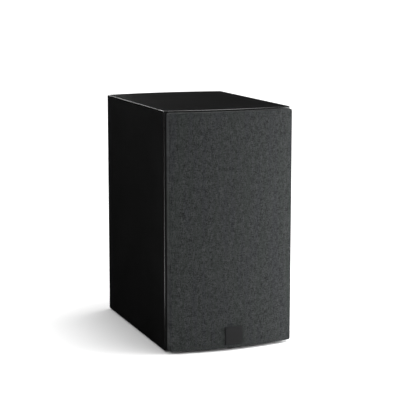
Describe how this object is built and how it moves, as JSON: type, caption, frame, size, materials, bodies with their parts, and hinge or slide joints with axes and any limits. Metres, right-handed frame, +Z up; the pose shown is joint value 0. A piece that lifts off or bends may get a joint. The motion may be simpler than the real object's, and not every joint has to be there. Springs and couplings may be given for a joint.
{
  "type": "bookshelf speaker",
  "caption": "Two-way bookshelf speaker: bowed satin black cabinet, charcoal cloth grille that pulls off, dome tweeter, cone woofer, rear port, screw-down binding posts.",
  "frame": {"origin": "middle of the speaker's footprint, on the surface it stands on", "axes": "+Z up, -Y out of the grille, +X to the right seen from the front"},
  "size_m": [0.195, 0.309, 0.35],
  "materials": {
    "cabinet_paint": "satin black lacquer over fibreboard",
    "raw_board": "bare fibreboard",
    "pad_rubber": "matt black rubber",
    "foam": "open-cell foam",
    "cup_rubber": "matt black rubber",
    "frame_plastic": "moulded matt black",
    "grille_cloth": "woven heather charcoal cloth",
    "badge_metal": "satin dark grey",
    "basket_metal": "dark grey powder coat",
    "trim_plastic": "fine-textured black",
    "black_steel": "black oxide",
    "ferrite": "ground ceramic",
    "plated_steel": "zinc plated",
    "surround_rubber": "satin butyl rubber",
    "spider_cloth": "resin-dipped cloth",
    "cone_paper": "pressed fibre",
    "former_film": "amber film",
    "copper_wire": "enamelled copper",
    "dome_silk": "coated silk",
    "gasket_foam": "closed-cell foam",
    "tag_board": "phenolic board with tinned tags",
    "port_plastic": "moulded matt black",
    "post_brass": "gold plated",
    "red_plastic": "clear-coated red",
    "black_plastic": "clear-coated black",
    "board_laminate": "green solder mask",
    "spacer_nylon": "natural nylon",
    "bobbin_plastic": "moulded bobbin",
    "film_wrap": "amber film wrap",
    "can_sleeve": "shrink sleeve",
    "cement": "cast cement",
    "lead_insulation": "soft insulation, one red and one black in each pair"
  },
  "bodies": {
    "cabinet": {"left_side_panel": "cabinet_paint", "right_side_panel": "cabinet_paint", "top_panel": "cabinet_paint", "bottom_panel": "cabinet_paint", "front_baffle": "cabinet_paint", "rear_panel": "cabinet_paint", "window_brace": "raw_board", "foot_pads": "pad_rubber", "foam_left": "foam", "foam_right": "foam", "peg_cups": "cup_rubber", "woofer_basket": "basket_metal", "woofer_trim_ring": "trim_plastic", "woofer_screws": "black_steel", "woofer_magnet": "ferrite", "woofer_top_plate": "plated_steel", "woofer_back_plate": "plated_steel", "tweeter_faceplate": "trim_plastic", "tweeter_screws": "black_steel", "tweeter_top_plate": "plated_steel", "tweeter_magnet": "ferrite", "tweeter_back_plate": "plated_steel", "tweeter_chamber": "trim_plastic", "driver_gaskets": "gasket_foam", "driver_tags": "tag_board", "port_tube": "port_plastic", "terminal_cup": "port_plastic", "small_screws": "black_steel", "post_studs": "post_brass", "post_nuts": "post_brass", "crossover_board": "board_laminate", "board_spacers": "spacer_nylon", "air_core_inductor": "copper_wire", "iron_core_inductor": "bobbin_plastic", "film_capacitor": "film_wrap", "electrolytic_capacitor": "can_sleeve", "cement_resistors": "cement", "woofer_leads": "lead_insulation", "tweeter_leads": "lead_insulation", "input_leads": "lead_insulation"},
    "grille": {"grille_frame": "frame_plastic", "grille_cloth": "grille_cloth", "grille_pegs": "frame_plastic", "grille_badge": "badge_metal"},
    "woofer_moving": {"woofer_cone": "cone_paper", "woofer_dust_cap": "cone_paper", "woofer_former": "former_film", "woofer_coil": "copper_wire", "woofer_surround": "surround_rubber", "woofer_spider": "spider_cloth", "woofer_braids": "copper_wire"},
    "tweeter_moving": {"tweeter_dome": "dome_silk", "tweeter_coil": "copper_wire", "tweeter_surround": "dome_silk"},
    "red_lift": {"red_washer": "post_brass"},
    "red_grip": {"red_knob": "red_plastic"},
    "black_lift": {"black_washer": "post_brass"},
    "black_grip": {"black_knob": "black_plastic"}
  },
  "joints": [
    {"name": "grille_release", "type": "slide", "parent": "cabinet", "child": "grille", "axis": [0, -1, 0], "range_m": [0, 0.1]},
    {"name": "woofer_stroke", "type": "slide", "parent": "cabinet", "child": "woofer_moving", "axis": [0, -1, 0], "range_m": [-0.005, 0.005], "stiffness_N_per_m": 1000, "deforming": ["woofer_surround", "woofer_spider", "woofer_braids"]},
    {"name": "tweeter_stroke", "type": "slide", "parent": "cabinet", "child": "tweeter_moving", "axis": [0, -1, 0], "range_m": [-0.0003, 0.0003], "stiffness_N_per_m": 1000, "deforming": ["tweeter_surround"]},
    {"name": "red_post_lift", "type": "slide", "parent": "cabinet", "child": "red_lift", "axis": [0, 1, 0], "range_m": [0, 0.0051]},
    {"name": "red_post_turn", "type": "hinge", "parent": "red_lift", "child": "red_grip", "pos_m": [-0.015, 0.13938, 0.092], "axis": [0, 1, 0], "range_deg": [0, 1800]},
    {"name": "black_post_lift", "type": "slide", "parent": "cabinet", "child": "black_lift", "axis": [0, 1, 0], "range_m": [0, 0.0051]},
    {"name": "black_post_turn", "type": "hinge", "parent": "black_lift", "child": "black_grip", "pos_m": [0.015, 0.13938, 0.092], "axis": [0, 1, 0], "range_deg": [0, 1800]}
  ],
  "couplings": [
    {"joint": "red_post_lift", "follows": "red_post_turn", "m_per_rad": 0.00015915},
    {"joint": "black_post_lift", "follows": "black_post_turn", "m_per_rad": 0.00015915}
  ]
}
